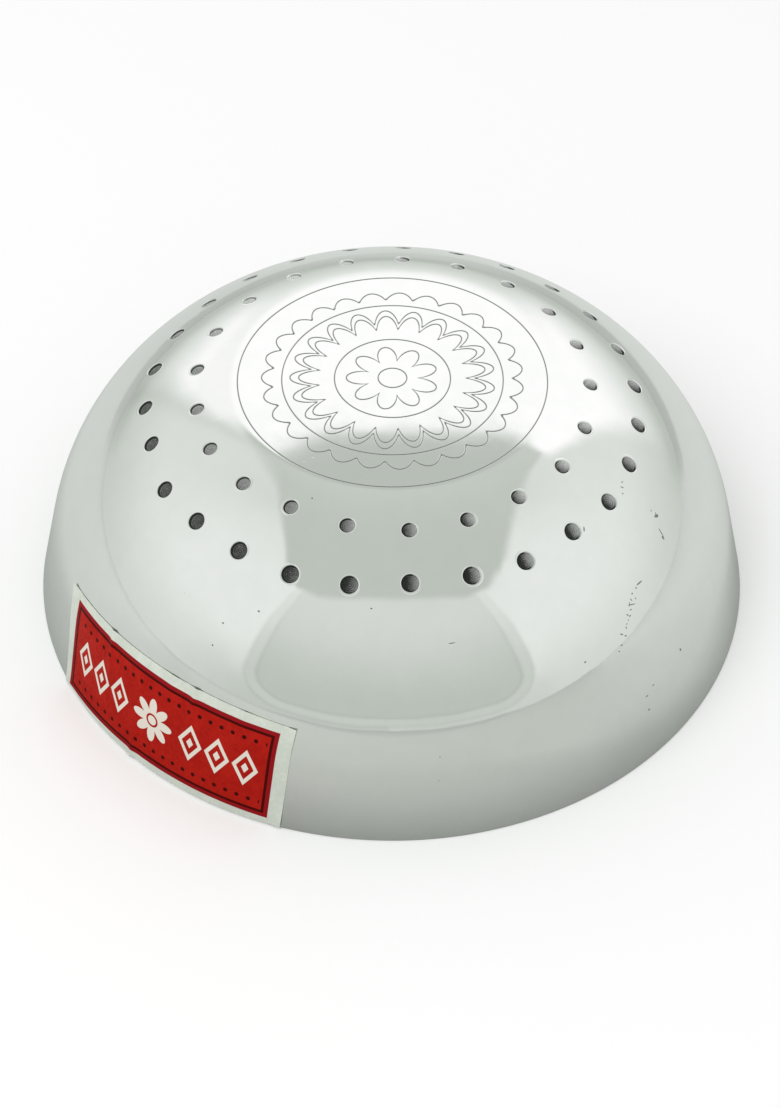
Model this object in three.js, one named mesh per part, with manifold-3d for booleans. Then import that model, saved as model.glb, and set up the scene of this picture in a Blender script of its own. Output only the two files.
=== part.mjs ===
// A kadai without handles: one deep pressed aluminium bowl, with two rings of dents punched round its
// base, and one paper label stuck on the wall at the rim. It stands upside down on its rim, so the
// rim's plane is z = 0, the flat base is on top, and z is the bowl's axis. Millimetres.

import * as THREE from "three";
import { mergeVertices } from "three/addons/utils/BufferGeometryUtils.js";
import Module from "manifold-3d";

const wasm = await Module();
wasm.setup();

// Bowl: the outside of the wall runs from the rim up a straight flare, then along one curve to the base.
const RIM_RADIUS = 120; // outside of the wall at the rim
const HEIGHT = 86; // rim plane to the outside of the base
const BASE_RADIUS = 50.5; // flat disc of the base
const FLARE_LENGTH = 24; // straight stretch of the wall above the rim
const WALL_LEAN = THREE.MathUtils.degToRad(12.7); // lean of that stretch from upright
const BELLY_REACH = 43.6; // pull of the curve along the flare: longer makes a fuller belly
const SHOULDER_REACH = 16.5; // pull of the curve along the base: longer makes a softer base edge
const SHEET = 3; // thickness of the pressed sheet
const RIM_EASE = 0.5; // bevel on both edges of the rim

// Engraved circle on the base, a shallow V groove.
const ENGRAVING_MARGIN = 0.8; // middle of the groove, in from the edge of the flat base
const ENGRAVING_WIDTH = 0.6;
const ENGRAVING_DEPTH = 0.25;

// Dents: two rings, each set out by its distance down the wall from the edge of the base.
const DENT_DEPTH = 1.1;
const DENT_BUMP = 0.6; // how far a dent stands out on the inside of the bowl
const UPPER_DENT_COUNT = 21;
const UPPER_DENT_DISTANCE = 13.6;
const UPPER_DENT_MOUTH = 5; // across the dent where it meets the wall
const UPPER_DENT_TURN = THREE.MathUtils.degToRad(1.3); // first dent, round the axis from +X
const LOWER_DENT_COUNT = 27;
const LOWER_DENT_DISTANCE = 32.1;
const LOWER_DENT_MOUTH = 5.8;
const LOWER_DENT_TURN = THREE.MathUtils.degToRad(7.4);

// Label: a strip of paper wrapped on the tapering wall.
const LABEL_WIDTH = 100.5;
const LABEL_HEIGHT = 39;
const LABEL_SHEET = 0.2;
const LABEL_GAP = 0.3; // glue line between the wall and the paper
const LABEL_FOOT = 0.2; // lower corners, up the wall from the rim
const LABEL_RISE = 1.2; // middle of the strip, up the wall from its ends
const LABEL_TURN = THREE.MathUtils.degToRad(-131); // middle of the label, round the axis from +X

// Fineness of the faceted surfaces.
const ROUND_SIDES = 60;
const OUTER_STEPS = 11;
const INNER_STEPS = 7;
const DENT_SIDES = 10;
const DENT_BANDS = 7;
const LABEL_COLUMNS = 20;
const LABEL_ROWS = 5;
const WELD = 1e-4; // corners closer than this are one corner

// Directions in the half plane of the profile: x is the radius and y is the height.
const flareUp = new THREE.Vector2(-Math.sin(WALL_LEAN), Math.cos(WALL_LEAN));
const rimEdge = new THREE.Vector2(RIM_RADIUS, 0);
const flareTop = rimEdge.clone().addScaledVector(flareUp, FLARE_LENGTH);
const baseEdge = new THREE.Vector2(BASE_RADIUS, HEIGHT);
const flare = new THREE.LineCurve(rimEdge, flareTop);
const belly = new THREE.CubicBezierCurve(
  flareTop,
  flareTop.clone().addScaledVector(flareUp, BELLY_REACH),
  new THREE.Vector2(BASE_RADIUS + SHOULDER_REACH, HEIGHT),
  baseEdge,
);
const wall = new THREE.CurvePath();
wall.add(flare);
wall.add(belly);
const wallLength = wall.getLength();

// The direction out of the wall, for a tangent that runs up it.
function outward(tangent) {
  return new THREE.Vector2(tangent.y, -tangent.x);
}

// A place on the outside of the wall, by its distance up the wall from the rim, lifted off by `lift`.
function wallPoint(distance, lift) {
  const share = distance / wallLength;
  const normal = outward(wall.getTangent(share));
  return { normal, point: wall.getPoint(share).addScaledVector(normal, lift) };
}

// Profile of the solid that fills the outside of the bowl, from the axis in the rim plane to the base.
function outsideProfile() {
  const eased = new THREE.Vector2(RIM_RADIUS - RIM_EASE, 0);
  const groove = BASE_RADIUS - ENGRAVING_MARGIN;
  const points = [new THREE.Vector2(0, 0), eased, rimEdge.clone().addScaledVector(flareUp, RIM_EASE)];
  points.push(...belly.getPoints(OUTER_STEPS));
  points.push(new THREE.Vector2(groove + ENGRAVING_WIDTH / 2, HEIGHT));
  points.push(new THREE.Vector2(groove, HEIGHT - ENGRAVING_DEPTH));
  points.push(new THREE.Vector2(groove - ENGRAVING_WIDTH / 2, HEIGHT));
  points.push(new THREE.Vector2(0, HEIGHT));
  return points;
}

// Profile of the solid that fills the inside, one sheet in from the outside. It starts one sheet below
// the rim plane, so that its cut opens the mouth, and it widens there to bevel the rim's inner edge.
function insideProfile() {
  const mouth = new THREE.Vector2(RIM_RADIUS - SHEET / Math.cos(WALL_LEAN), 0);
  const below = new THREE.Vector2(mouth.x + RIM_EASE, -SHEET);
  const points = [new THREE.Vector2(0, -SHEET), below, new THREE.Vector2(mouth.x + RIM_EASE, 0)];
  points.push(mouth.clone().addScaledVector(flareUp, RIM_EASE));
  for (let i = 0; i <= INNER_STEPS; i++) {
    const share = i / INNER_STEPS;
    points.push(belly.getPoint(share).addScaledVector(outward(belly.getTangent(share)), -SHEET));
  }
  points.push(new THREE.Vector2(0, HEIGHT - SHEET));
  return points;
}

// A solid for joining and cutting, from a closed geometry: only positions, with shared corners merged.
function solid(geometry) {
  const bare = geometry.clone();
  bare.deleteAttribute("normal");
  bare.deleteAttribute("uv");
  const merged = mergeVertices(bare, WELD);
  const corners = merged.index.array;
  const triangles = [];
  for (let i = 0; i < corners.length; i += 3) {
    const [a, b, c] = corners.subarray(i, i + 3);
    if (a !== b && b !== c && c !== a) triangles.push(a, b, c);
  }
  const mesh = new wasm.Mesh({
    numProp: 3,
    vertProperties: merged.attributes.position.array,
    triVerts: new Uint32Array(triangles),
  });
  return new wasm.Manifold(mesh);
}

// The geometry of a solid that has been joined or cut, with flat facets.
function facets(made) {
  const mesh = made.getMesh();
  const geometry = new THREE.BufferGeometry();
  geometry.setAttribute("position", new THREE.BufferAttribute(mesh.vertProperties, 3));
  geometry.setIndex(new THREE.BufferAttribute(mesh.triVerts, 1));
  const flat = geometry.toNonIndexed();
  flat.computeVertexNormals();
  return flat;
}

// A solid of revolution about z.
function turned(profile) {
  return solid(new THREE.LatheGeometry(profile, ROUND_SIDES).rotateX(Math.PI / 2));
}

// A ball whose poles lie along the wall's normal, in the half plane at angle `turn` round the axis.
function ball(radius, centre, normal, turn) {
  const across = new THREE.Vector3(Math.cos(turn), Math.sin(turn), 0);
  const pole = across.clone().multiplyScalar(normal.x);
  pole.z = normal.y;
  const place = across.multiplyScalar(centre.x);
  place.z = centre.y;
  const geometry = new THREE.SphereGeometry(radius, DENT_SIDES, DENT_BANDS);
  geometry.applyQuaternion(new THREE.Quaternion().setFromUnitVectors(THREE.Object3D.DEFAULT_UP, pole));
  return solid(geometry.translate(place.x, place.y, place.z));
}

// The balls that press one ring of dents: for each dent, one that cuts the outside of the sheet, and a
// larger one about the same middle that the inside keeps clear of, so that the sheet bulges inwards.
function dentRing(count, distance, mouth, turn) {
  const radius = ((mouth / 2) ** 2 + DENT_DEPTH ** 2) / (2 * DENT_DEPTH);
  const lift = radius - DENT_DEPTH;
  const { point, normal } = wallPoint(wallLength - distance, lift);
  const dents = [];
  for (let i = 0; i < count; i++) {
    const angle = turn + (2 * Math.PI * i) / count;
    const cut = ball(radius, point, normal, angle);
    const bulge = ball(lift + SHEET + DENT_BUMP, point, normal, angle);
    dents.push({ cut, bulge });
  }
  return dents;
}

// The bowl: the outside's solid, less the inside's with the dents' bulges left standing, less the dents.
function bowlGeometry() {
  const dents = [
    ...dentRing(UPPER_DENT_COUNT, UPPER_DENT_DISTANCE, UPPER_DENT_MOUTH, UPPER_DENT_TURN),
    ...dentRing(LOWER_DENT_COUNT, LOWER_DENT_DISTANCE, LOWER_DENT_MOUTH, LOWER_DENT_TURN),
  ];
  let hollow = turned(insideProfile());
  for (const { bulge } of dents) hollow = hollow.subtract(bulge);
  let shell = turned(outsideProfile()).subtract(hollow);
  for (const { cut } of dents) shell = shell.subtract(cut);
  return facets(shell);
}

// The label: a flat box bent onto the wall. On a taper a strip's ends ride lower than its middle, by the
// square of the distance from the middle.
function labelGeometry() {
  const geometry = new THREE.BoxGeometry(
    LABEL_WIDTH,
    LABEL_HEIGHT,
    LABEL_SHEET,
    LABEL_COLUMNS,
    LABEL_ROWS,
  );
  const corners = geometry.attributes.position;
  for (let i = 0; i < corners.count; i++) {
    const along = corners.getX(i);
    const rise = LABEL_RISE * (1 - (along / (LABEL_WIDTH / 2)) ** 2);
    const distance = LABEL_FOOT + rise + corners.getY(i) + LABEL_HEIGHT / 2;
    const { point } = wallPoint(distance, LABEL_GAP + LABEL_SHEET / 2 + corners.getZ(i));
    const angle = LABEL_TURN + along / point.x;
    corners.setXYZ(i, point.x * Math.cos(angle), point.x * Math.sin(angle), point.y);
  }
  geometry.computeVertexNormals();
  return geometry;
}

function piece(name, geometry, material) {
  const mesh = new THREE.Mesh(geometry, new THREE.MeshStandardMaterial(material));
  mesh.name = name;
  return mesh;
}

const kadai = new THREE.Group();
kadai.name = "kadai";
kadai.add(piece("bowl", bowlGeometry(), { color: 0xd9dcd8, roughness: 0.12, metalness: 1 }));
kadai.add(piece("label", labelGeometry(), { color: 0xb81f1a, roughness: 0.45, metalness: 0 }));

export default kadai;
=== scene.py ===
"""Looks of a pressed aluminium kadai that stands upside down on its rim.

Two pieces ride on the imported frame: the bowl, one closed shell with two rings of round dents and an
engraved base, and the paper label that is stuck on its flare.  Sizes are in millimetres until a mesh is
made; the frame itself is in metres, with +Z up and the camera on the -Y side.
"""

import math

import bpy
import numpy as np
from mathutils import Matrix, Vector


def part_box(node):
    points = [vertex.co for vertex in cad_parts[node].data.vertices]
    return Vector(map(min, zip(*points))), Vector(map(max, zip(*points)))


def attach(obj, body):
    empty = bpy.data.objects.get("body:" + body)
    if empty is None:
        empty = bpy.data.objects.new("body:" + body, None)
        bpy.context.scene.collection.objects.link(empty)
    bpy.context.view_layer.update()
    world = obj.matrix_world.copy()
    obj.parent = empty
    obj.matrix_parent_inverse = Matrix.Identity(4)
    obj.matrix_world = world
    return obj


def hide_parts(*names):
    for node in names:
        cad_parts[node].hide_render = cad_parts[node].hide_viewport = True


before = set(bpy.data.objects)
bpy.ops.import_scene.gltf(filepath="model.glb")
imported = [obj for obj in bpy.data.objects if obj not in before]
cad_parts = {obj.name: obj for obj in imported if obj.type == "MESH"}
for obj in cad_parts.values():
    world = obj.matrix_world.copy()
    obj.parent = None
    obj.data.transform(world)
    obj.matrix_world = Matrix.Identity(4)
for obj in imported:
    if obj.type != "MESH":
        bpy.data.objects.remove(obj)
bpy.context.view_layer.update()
MM = 0.001

# Wall of the bowl, with the rim and the height taken from the frame.
_, BOWL_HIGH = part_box("bowl")
WALL_LEAN = math.radians(12.7)
RIM_EASE = 0.5
HEIGHT = BOWL_HIGH.z / MM
RIM_RADIUS = BOWL_HIGH.x / MM + RIM_EASE * math.sin(WALL_LEAN)
BASE_RADIUS = 50.5
FLARE_LENGTH = 24.0
BELLY_REACH = 43.6
SHOULDER_REACH = 16.5
SHEET = 3.0
CURVE_STEPS = 6000
RIM_STEPS = 60

# Fineness of the shell: the columns divide evenly among the dents of both rings.
COLUMNS = 378
COLUMN_TURN = 2 * math.pi / COLUMNS
NORMAL_STEP = 0.004
CELL_ROWS = 10
CELL_HALF = 5.2
SHOULDER_ROWS = 7
BETWEEN_ROWS = 6
WALL_ROWS = 28
RIM_ROWS = 14
INNER_ROWS = 38
INNER_BASE_ROWS = 9

# Dents: a lip stands round each, and the punch leans so that one side, clockwise round the bowl, is deeper.
DENT_DEPTH = 1.1
DENT_BUMP = 0.6
BUMP_WIDTH = 3.4
DENT_EDGE = 0.14
DENT_STEEP = 3.4
DENT_SLANT = 0.3
LIP_HEIGHT = 0.035
LIP_PLACE = 1.1
LIP_WIDTH = 0.08
LIP_LEAN = 0.5
NO_DENT = 2.0
# Both rings sit a little nearer the viewer than the axis, and some dents stray from their even places: number
# of the dent in its ring, and how far it lies round the bowl and down it.
UPPER = {"count": 21, "distance": 13.6, "mouth": 5.0, "turn": math.radians(1.3), "nearer": 1.2}
UPPER["strays"] = (
    (1, 0.6, 0.0),
    (11, 0.0, -0.6),
    (12, -0.5, 0.2),
    (13, -0.5, 0.0),
    (14, -1.0, -1.0),
    (15, -0.9, -0.2),
    (16, -0.9, 0.3),
    (17, -1.5, 0.0),
    (18, -2.0, -0.5),
    (19, -1.3, 0.4),
    (20, -1.3, 0.0),
)
LOWER = {"count": 27, "distance": 32.1, "mouth": 5.8, "turn": math.radians(7.4), "nearer": 1.0}
LOWER["strays"] = (
    (0, -0.5, -0.4),
    (1, -0.4, -0.5),
    (11, 0.3, -0.5),
    (14, -0.8, -1.2),
    (15, 0.7, 1.0),
    (18, 0.0, 0.6),
    (20, 0.0, -1.2),
    (21, 0.6, -0.9),
    (23, 0.8, -0.7),
    (24, 0.4, 0.3),
    (25, -0.3, -0.4),
    (26, -0.4, -0.5),
)
CELL_FADES = (0.4, 0.75)
CELL_RINGS = (1.3, 1.24, 1.18, 1.12, 1.06, 1.0, 0.93, 0.85, 0.73, 0.56, 0.32)

# Engraved rosette: mean radius, swing and number of petals.
ENGRAVING_HALF = 0.28
ENGRAVING_DEPTH = 0.14
ENGRAVED_LINES = (
    (4.6, 0.0, 0),
    (11.4, 3.4, 9),
    (18.6, 0.0, 0),
    (26.5, 3.6, 21),
    (29.3, 3.6, 21),
    (35.5, 0.0, 0),
    (40.0, 2.0, 27),
    (49.7, 0.0, 0),
)
GROOVE_ROWS = (-1.08, -0.55, 0.0, 0.55, 1.08)
GAP_ROWS = 2
ROSETTE_HEART = 1.5
PETAL_ROUND = 0.75

# Nicks in the polish: turn, distance down the wall, slant from level, length and width.
NICKS = (
    (-25.6, 48.6, 30, 2.4, 1.2),
    (-25.4, 48.2, 120, 1.8, 0.6),
    (-27.4, 53.3, 98, 4.4, 0.5),
    (-27.8, 54.8, 98, 1.7, 0.9),
    (-27.2, 33.5, 60, 1.4, 0.5),
    (-26.0, 32.6, 20, 0.9, 0.5),
    (-28.4, 34.8, 0, 0.8, 0.5),
    (-43.0, 61.6, 120, 1.8, 0.4),
    (-44.3, 64.0, 50, 1.3, 0.45),
    (-45.6, 67.2, 110, 1.1, 0.45),
    (-46.3, 69.4, 20, 1.2, 0.5),
    (-38.8, 58.4, 5, 3.2, 0.6),
    (-41.4, 59.4, 0, 0.9, 0.6),
    (-42.6, 62.1, 23, 4.0, 0.4),
    (-41.2, 61.4, 90, 0.8, 0.5),
    (-43.9, 64.8, 0, 1.0, 0.5),
    (-47.0, 68.1, 40, 1.6, 0.5),
    (-47.7, 71.3, 0, 0.9, 0.6),
    (-55.6, 69.6, 0, 1.0, 0.6),
    (-35.5, 89.2, 60, 1.5, 0.9),
    (-43.4, 92.1, 0, 0.9, 0.6),
    (-45.1, 94.2, 0, 1.4, 0.6),
    (-45.0, 100.0, 0, 1.0, 0.8),
    (-43.1, 33.5, 127, 1.9, 0.6),
    (-116.1, 47.2, 0, 0.9, 0.6),
    (-122.1, 54.9, 0, 0.9, 0.6),
    (-94.1, 39.5, 0, 0.8, 0.5),
    (-78.9, 51.0, 0, 2.6, 0.35),
    (-40.0, 58.9, 30, 0.9, 0.5),
    (-42.2, 60.8, 70, 1.1, 0.4),
    (-43.2, 63.3, 10, 1.3, 0.4),
    (-45.2, 66.3, 0, 0.8, 0.4),
    (-44.6, 65.6, 90, 0.8, 0.4),
    (-48.6, 72.6, 40, 0.9, 0.4),
)

# Label: its edges as heights up the wall from the rim, and its print, which keeps straight lines.  Its left
# edge is cut askew, by so much at the foot and at the top.
LABEL_WIDTH = 100.5
LABEL_TRIMS = (3.2, 0.4)
LABEL_FOOT = 0.45
LABEL_TOP = 38.0
LABEL_CROWN = 3.1
LABEL_TILT = 0.022
PRINT_RISES = (1.2, 2.4)
PRINT_TILT = 0.018
PRINT_HEIGHT = 40.0
LABEL_SHEET = 0.16
LABEL_GAP = 0.1
LABEL_TURN = math.radians(-131.0)
LABEL_COLUMNS = 202
LABEL_ROWS = 60
# Pleats of the label: place along it, half width, height, slant and the edge they grow towards.
LABEL_PLEATS = (
    (-20.5, 1.3, 0.55, -2.5, 1),
    (14.6, 1.3, 0.6, 2.0, 1),
    (-6.3, 1.4, 0.5, 1.5, -1),
    (6.0, 2.6, 0.25, 1.0, 1),
    (33.0, 2.4, 0.2, 1.0, 1),
)

# Camera, from the perspective of the rim, base and dents in the photograph.
IMAGE_WIDTH = 780
IMAGE_HEIGHT = 1108
FOCAL_PIXELS = 2444.0
SENSOR = 36.0
CAMERA_TARGET = (-0.576, 0.0, 4.284)
CAMERA_DISTANCE = 842.7
CAMERA_ELEVATION = math.radians(46.254)
CAMERA_ROLL = math.radians(0.21)

# Studio.
TENT_RADIUS = 60.0
TENT_COLUMNS = 540
# Bands of the tent's rows: lowest and highest elevation in degrees, and number of rows.
TENT_BANDS = ((-3, 42.6, 62), (42.65, 44.6, 40), (45.2, 90, 61))
TENT_TINT = np.array([0.985, 1.02, 0.98])
# Opening of the tent in front, in degrees: half widths at left and right, height of its foot, round of its
# corners, band of its frame, and place and width of the dark lines along the frame.
OPENING_HALVES = (42.5, 40.8)
OPENING_FOOT = 5.3
OPENING_ROUND = 10.0
FRAME_BAND = (-4.4, -3.6)
FRAME_LINE = 4.2
LINE_WIDTH = 0.6
FLOOR_RADIUS = 2.5
FLOOR_SIDES = 128
FLOOR_NEAR = 0.1
FLOOR_GLOSSY_SHARE = 0.1
FLOOR_ROUGHNESS = 0.9
WORLD_STRENGTH = 0.84
KEY_PLACE = (-0.9, -0.8, 1.7)
KEY_SIZE = 1.2
KEY_POWER = 11.0


def smooth_step(low, high, value):
    """0 below low, 1 above high, and the smooth cubic 3t^2 - 2t^3 between them."""
    share = np.clip((value - low) / (high - low), 0, 1)
    return share * share * (3 - 2 * share)


def wall_section():
    """Outside of the wall in the plane of the axis, from the base's edge to the rim.

    A Bezier curve leaves the flat base level and meets the flare along the flare's own line; the straight
    flare follows.  Gives the points as (radius, height) and their outward normals.
    """
    flare_up = np.array([-math.sin(WALL_LEAN), math.cos(WALL_LEAN)])
    rim = np.array([RIM_RADIUS, 0.0])
    flare_top = rim + FLARE_LENGTH * flare_up
    start = np.array([BASE_RADIUS, HEIGHT])
    shoulder = start + np.array([SHOULDER_REACH, 0.0])
    belly = flare_top + BELLY_REACH * flare_up
    t = np.linspace(0, 1, CURVE_STEPS)[:, None]
    u = 1 - t
    curve = u**3 * start + 3 * u * u * t * shoulder + 3 * u * t * t * belly + t**3 * flare_top
    slope = u * u * (shoulder - start) + 2 * u * t * (belly - shoulder) + t * t * (flare_top - belly)
    flare = flare_top + (rim - flare_top) * np.linspace(0, 1, CURVE_STEPS)[1:, None]
    along = np.vstack([slope, np.broadcast_to(-flare_up, flare.shape)])
    along /= np.linalg.norm(along, axis=1, keepdims=True)
    return np.vstack([curve, flare]), np.stack([-along[:, 1], along[:, 0]], axis=1)


def path_length(points):
    """Length of a polyline up to each of its points."""
    return np.concatenate([[0], np.cumsum(np.linalg.norm(np.diff(points, axis=0), axis=1))])


def eased_corner(first, corner, last):
    """Quadratic curve that rounds a corner off between two points."""
    t = np.linspace(0, 1, RIM_STEPS)[1:, None]
    return (1 - t) ** 2 * first + 2 * t * (1 - t) * corner + t * t * last


class Section:
    """Closed section of the shell as one path: outside down to the rim, round it, and up the inside.

    Distance along the path is 0 at the base's edge on the outside and negative on the base.  Lean is the
    angle of the normal above the horizontal, and seat is the distance of the same place on the outside.
    """

    def __init__(self):
        wall, normals = wall_section()
        seat = path_length(wall)
        self.wall_length = seat[-1]
        outer = seat < self.wall_length - RIM_EASE
        inner_wall = wall - SHEET * normals
        inner = inner_wall[:, 1] > RIM_EASE * math.cos(WALL_LEAN)
        inner_rim = RIM_RADIUS - SHEET / math.cos(WALL_LEAN)
        flat_out = np.array([RIM_RADIUS - RIM_EASE, 0.0])
        flat_in = np.array([inner_rim + RIM_EASE, 0.0])
        outer_ease = eased_corner(wall[outer][-1], np.array([RIM_RADIUS, 0.0]), flat_out)
        inner_ease = eased_corner(flat_in, np.array([inner_rim, 0.0]), inner_wall[inner][-1])
        axis_in = np.array([[0.0, HEIGHT - SHEET]])
        inner_up = inner_wall[inner][::-1][1:]
        path = np.vstack([wall[outer], outer_ease, [flat_in], inner_ease, inner_up, axis_in])
        rim_seats = np.full(len(outer_ease) + 1 + len(inner_ease), self.wall_length)
        self.seats = np.concatenate([seat[outer], rim_seats, seat[inner][::-1][1:], [-BASE_RADIUS]])
        self.distances = path_length(path)
        self.radii, self.heights = path.T
        rise = np.gradient(path, self.distances, axis=0)
        self.leans = np.unwrap(np.arctan2(rise[:, 0], -rise[:, 1]))
        self.leans[0] = math.pi / 2
        self.outer_end = self.distances[outer.sum() - 1]
        self.rim_end = self.distances[outer.sum() - 1 + len(rim_seats)]
        self.inner_base = self.distances[-2]
        self.length = self.distances[-1]

    def at(self, distance):
        """Radius, height, lean and seat of points on the path."""
        on_base = np.minimum(distance, 0)
        past_axis = np.maximum(distance - self.length, 0)
        radius = np.interp(distance, self.distances, self.radii) + on_base - past_axis
        height = np.interp(distance, self.distances, self.heights)
        lean = np.interp(distance, self.distances, self.leans)
        return radius, height, lean, np.interp(distance, self.distances, self.seats) + on_base


SECTION = Section()
for ring in (UPPER, LOWER):
    ring["radius"], ring["height"], ring["lean"], _ = (float(part) for part in SECTION.at(ring["distance"]))
    ring["middles"] = ring["turn"] + 2 * math.pi / ring["count"] * np.arange(ring["count"])
    strays = np.zeros((ring["count"], 2))
    for number, aside, down in ring["strays"]:
        strays[number] = aside, down
    ring["aside"] = strays[:, 0] - ring["nearer"] * np.cos(ring["middles"])
    ring["down"] = strays[:, 1] - ring["nearer"] * np.sin(ring["middles"]) * math.sin(ring["lean"])
TWIST = LOWER["turn"] - UPPER["turn"]
COLUMN_SHIFT = round(TWIST / COLUMN_TURN)
UPPER["start"] = UPPER["turn"]
LOWER["start"] = LOWER["turn"] - COLUMN_SHIFT * COLUMN_TURN
UPPER["middle_column"] = 0
LOWER["middle_column"] = COLUMN_SHIFT


def dent_offset(ring, seat, turn):
    """Offset over the wall from the middle of the nearest dent of a ring: round the bowl and down it."""
    pitch = 2 * math.pi / ring["count"]
    place = (turn - ring["turn"]) / pitch
    number = np.rint(place).astype(int)
    nearest = number % ring["count"]
    aside = (place - number) * pitch * ring["radius"] - ring["aside"][nearest]
    return aside, seat - ring["distance"] - ring["down"][nearest]


def dent_shares(ring, seat, turn):
    """Distance from the nearest dent's middle, and its part round the bowl, both 1 at the dent's edge."""
    aside, down = dent_offset(ring, seat, turn)
    mouth = ring["mouth"] / 2
    return np.hypot(aside, down) / mouth, np.clip(aside / mouth, -1, 1)


def dent_bowl(share, side):
    """Depth of a round dent before its edge is eased: full less a power of the distance from its middle."""
    return DENT_DEPTH * (1 - share**DENT_STEEP) * (1 - DENT_SLANT * side)


def eased_depth(share, side, bowl):
    """Soft maximum of a dent's depth and the plain wall, less a bell shaped lip, higher on one side."""
    lip = LIP_HEIGHT * (1 + LIP_LEAN * side) * np.exp(-(((share - LIP_PLACE) / LIP_WIDTH) ** 2))
    return (bowl + np.sqrt(bowl * bowl + DENT_EDGE * DENT_EDGE)) / 2 - lip


def engraved_radius(line, turn):
    """Radius of an engraved line: its mean plus a swing that makes round petals."""
    mean, swing, petals = line
    if not petals:
        return np.full_like(turn, mean)
    return mean + swing * (2 * np.abs(np.sin(petals * turn / 2)) ** PETAL_ROUND - 1)


def groove_width(line, turn):
    """Half width of a groove measured along the radius, wider where the line runs steeply."""
    change = engraved_radius(line, turn + COLUMN_TURN / 2) - engraved_radius(line, turn - COLUMN_TURN / 2)
    steep = change / (COLUMN_TURN * engraved_radius(line, turn))
    return ENGRAVING_HALF * np.sqrt(1 + np.minimum(steep * steep, 4))


def engraving(radius, turn):
    """Share of the full engraving depth: (1 - t^2)^2 across each groove, t being 1 at its edges."""
    share = np.zeros(np.broadcast(radius, turn).shape)
    for line in ENGRAVED_LINES:
        across = (radius - engraved_radius(line, turn)) / groove_width(line, turn)
        share = np.maximum(share, np.clip(1 - across * across, 0, 1) ** 2)
    return share


def shell_masks(distance, turn):
    """Where the shell is sunk into a dent, engraved or inside, and how far each point is moved inwards."""
    radius, _, _, seat = SECTION.at(distance)
    outside = distance < SECTION.outer_end
    inside = smooth_step(SECTION.outer_end, SECTION.rim_end, distance)
    nearest = np.full(np.broadcast(distance, turn).shape, NO_DENT)
    side, sunk, bumps = np.zeros((3, *nearest.shape))
    for ring in (UPPER, LOWER):
        share, aside = dent_shares(ring, seat, turn)
        nearest = np.minimum(nearest, share)
        side = side + aside * (share < NO_DENT)
        sunk = sunk + eased_depth(share, aside, dent_bowl(share, aside))
        bumps = bumps + np.exp(-((share * ring["mouth"] / 2 / BUMP_WIDTH) ** 2))
    groove = engraving(radius, turn) * (distance < 0)
    move = np.where(outside, sunk + ENGRAVING_DEPTH * groove, -DENT_BUMP * bumps * (inside > 0.99))
    nearest = np.where(outside, nearest, NO_DENT)
    return {"pit_share": nearest, "pit_side": side, "groove": groove, "inside": inside}, move


def shell_surface(distance, turn):
    """The shell as a surface of revolution of its section, moved inwards by dents and engraving.

    A point lies at the section's radius and height for its distance, turned about the axis, less the depth
    of dents and grooves along the section's normal.
    """
    radius, height, lean, _ = SECTION.at(distance)
    move = shell_masks(distance, turn)[1]
    across = radius - move * np.cos(lean)
    return np.stack([across * np.cos(turn), across * np.sin(turn), height - move * np.sin(lean)], axis=-1)


def shell_normals(distance, turn):
    """Unit normals of the shell: the section's normal, tilted by how the depth changes along and round it."""
    radius, _, lean, _ = SECTION.at(distance)
    reach = NORMAL_STEP / np.maximum(np.abs(radius), 1)
    along = shell_masks(distance + NORMAL_STEP, turn)[1] - shell_masks(distance - NORMAL_STEP, turn)[1]
    round_it = shell_masks(distance, turn + reach)[1] - shell_masks(distance, turn - reach)[1]
    along = along / (2 * NORMAL_STEP)
    round_it = round_it / (2 * NORMAL_STEP)
    out = np.cos(lean) + along * np.sin(lean)
    rise = np.sin(lean) - along * np.cos(lean)
    normal = np.stack(
        [
            out * np.cos(turn) - round_it * np.sin(turn),
            out * np.sin(turn) + round_it * np.cos(turn),
            rise,
        ],
        axis=-1,
    )
    return normal / np.linalg.norm(normal, axis=-1, keepdims=True)


class Shell:
    """Vertices and faces of the bowl, gathered zone by zone."""

    def __init__(self):
        self.distance = np.empty(0)
        self.turn = np.empty(0)
        self.quads = []
        self.triangles = []

    def add(self, distance, turn):
        """Adds points by their place on the section and their turn, and returns their numbers."""
        distance, turn = np.broadcast_arrays(distance, turn)
        first = len(self.distance)
        self.distance = np.concatenate([self.distance, distance.ravel()])
        self.turn = np.concatenate([self.turn, turn.ravel()])
        return first + np.arange(distance.size).reshape(distance.shape)

    def join(self, loops):
        """Quads between successive closed loops, which lie along the second last axis."""
        upper = loops[..., :-1, :]
        lower = loops[..., 1:, :]
        corners = (upper, lower, np.roll(lower, -1, -1), np.roll(upper, -1, -1))
        self.quads.append(np.stack(corners, axis=-1).reshape(-1, 4))

    def close(self, loop, middle):
        """Triangles from a closed loop to its middle point."""
        corners = np.broadcast_arrays(loop, middle[..., None], np.roll(loop, -1, -1))
        self.triangles.append(np.stack(corners, axis=-1).reshape(-1, 3))


def column_turns(start):
    """Turn of every column of the grid."""
    return start + COLUMN_TURN * np.arange(COLUMNS)


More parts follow.
